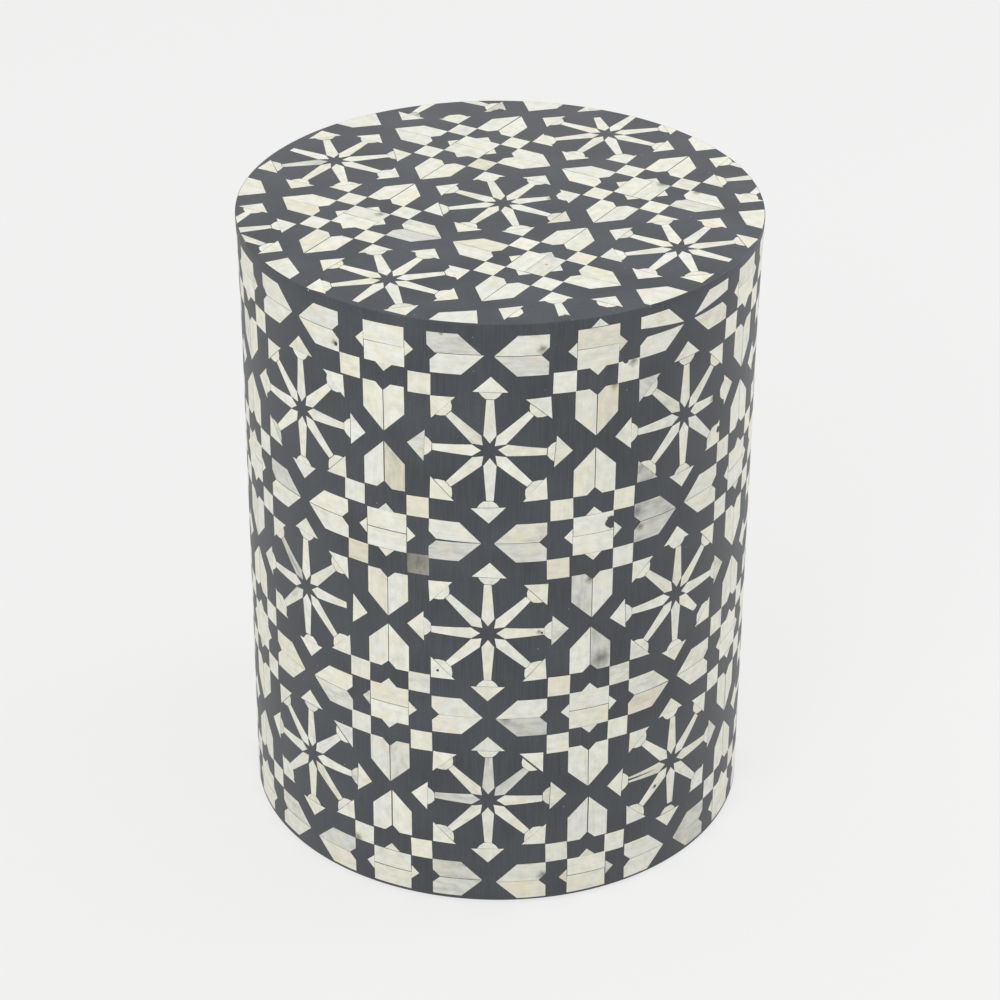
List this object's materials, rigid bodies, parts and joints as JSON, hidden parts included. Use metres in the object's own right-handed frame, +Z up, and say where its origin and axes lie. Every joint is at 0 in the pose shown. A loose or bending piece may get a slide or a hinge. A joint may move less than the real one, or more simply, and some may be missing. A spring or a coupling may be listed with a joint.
{
  "type": "bone inlay drum stool",
  "caption": "Closed round drum stool or side table with a flat top, bone inlay in charcoal resin on a plywood drum, on low glides.",
  "frame": {"origin": "on the floor, under the middle of the drum", "axes": "+Z up along the drum's axis, -Y the front that the picture shows, +X to the right"},
  "size_m": [0.359, 0.359, 0.456],
  "materials": {
    "bone": "satin",
    "resin": "satin",
    "plywood": "matte",
    "softwood": "matte",
    "board": "matte",
    "painted_base": "matte",
    "steel": "satin",
    "glide": "satin"
  },
  "bodies": {
    "root": {"top_panel": "board", "upper_ring": "plywood", "middle_ring": "plywood", "base_ring": "plywood", "base_panel": "painted_base", "wall_sheet_front": "plywood", "wall_sheet_back": "plywood", "batten_1": "softwood", "batten_2": "softwood", "batten_3": "softwood", "batten_4": "softwood", "batten_5": "softwood", "batten_6": "softwood", "batten_7": "softwood", "batten_8": "softwood", "base_screw_1": "steel", "base_screw_2": "steel", "base_screw_3": "steel", "base_screw_4": "steel", "base_screw_5": "steel", "base_screw_6": "steel", "base_screw_7": "steel", "base_screw_8": "steel", "top_screw_1": "steel", "top_screw_2": "steel", "top_screw_3": "steel", "top_screw_4": "steel", "glide_1": "glide", "glide_2": "glide", "glide_3": "glide", "glide_4": "glide", "glide_nail_1": "steel", "glide_nail_2": "steel", "glide_nail_3": "steel", "glide_nail_4": "steel", "side_bone": "bone", "top_bone": "bone", "side_resin": "resin", "top_resin": "resin"}
  },
  "joints": []
}
